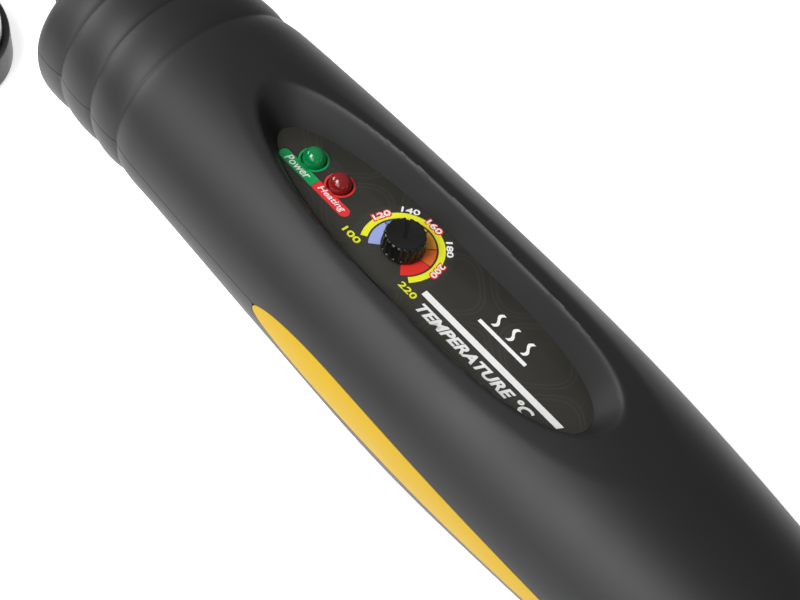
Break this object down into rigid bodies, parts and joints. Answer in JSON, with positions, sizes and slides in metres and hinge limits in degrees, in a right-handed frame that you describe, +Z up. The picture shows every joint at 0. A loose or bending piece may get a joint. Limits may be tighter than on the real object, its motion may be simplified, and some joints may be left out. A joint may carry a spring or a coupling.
{
  "type": "sealing iron",
  "caption": "Electric sealing iron: ribbed two-part plastic handle with a sunk control panel and turning temperature dial, bent steel neck and a flat heated shoe.",
  "frame": {"origin": "centre of the sole's flat underside", "axes": "+X towards the shoe's toe, +Y to the left of a hand that holds the handle, +Z up, with the sole and the handle's tail resting on z = 0"},
  "size_m": [0.33, 0.0466, 0.072],
  "materials": {
    "soft_black": "soft-touch moulded plastic, matt",
    "insert_yellow": "moulded plastic, satin",
    "label_print": "printed film, satin gloss",
    "lens_green": "clear tinted epoxy lens",
    "lens_red": "clear tinted epoxy lens",
    "knob_black": "polished moulded plastic",
    "board_green": "solder-masked glass laminate",
    "component_black": "moulded resin",
    "resistor_ceramic": "fired ceramic, unglazed",
    "capacitor_sleeve": "shrink sleeve over an aluminium can",
    "terminal_green": "moulded nylon",
    "collar_resin": "heat-resistant moulded resin",
    "gland_rubber": "matt",
    "neck_steel": "brushed and bright",
    "zinc_plated": "zinc plated",
    "screw_steel": "nickel plated",
    "heat_sink_aluminium": "extruded",
    "non_stick": "cast aluminium with a dark non-stick coat",
    "lead_sleeve": "woven glass sleeve"
  },
  "bodies": {
    "iron": {"upper_shell": "soft_black", "lower_shell": "soft_black", "side_insert_right": "insert_yellow", "side_insert_left": "insert_yellow", "panel_label": "label_print", "power_led": "lens_green", "heating_led": "lens_red", "circuit_board": "board_green", "dial_potentiometer": "component_black", "control_chip": "component_black", "triac": "component_black", "cord_clamp": "component_black", "dropper_resistor": "resistor_ceramic", "temperature_sensor": "resistor_ceramic", "heating_element": "resistor_ceramic", "smoothing_capacitor": "capacitor_sleeve", "sensor_connector": "terminal_green", "terminal_block": "terminal_green", "nose_collar": "collar_resin", "cord_gland": "gland_rubber", "neck_tube": "neck_steel", "shoe_cover": "neck_steel", "neck_socket": "zinc_plated", "neck_flange": "zinc_plated", "pressure_plate": "zinc_plated", "case_screw_1": "screw_steel", "case_screw_2": "screw_steel", "case_screw_3": "screw_steel", "case_screw_4": "screw_steel", "board_screw_1": "screw_steel", "board_screw_2": "screw_steel", "clamp_screw_1": "screw_steel", "clamp_screw_2": "screw_steel", "shoe_screw_1": "screw_steel", "shoe_screw_2": "screw_steel", "socket_screw_1": "screw_steel", "socket_screw_2": "screw_steel", "heat_sink": "heat_sink_aluminium", "shoe": "non_stick", "heater_lead_1": "lead_sleeve", "heater_lead_2": "lead_sleeve", "sensor_lead": "lead_sleeve"},
    "dial": {"temperature_knob": "knob_black", "potentiometer_shaft": "screw_steel"}
  },
  "joints": [
    {"name": "dial_turn", "type": "hinge", "parent": "iron", "child": "dial", "pos_m": [-0.183, 0, 0.0484], "axis": [0.2267, 0, -0.974], "range_deg": [-82.5, 164.5]}
  ]
}
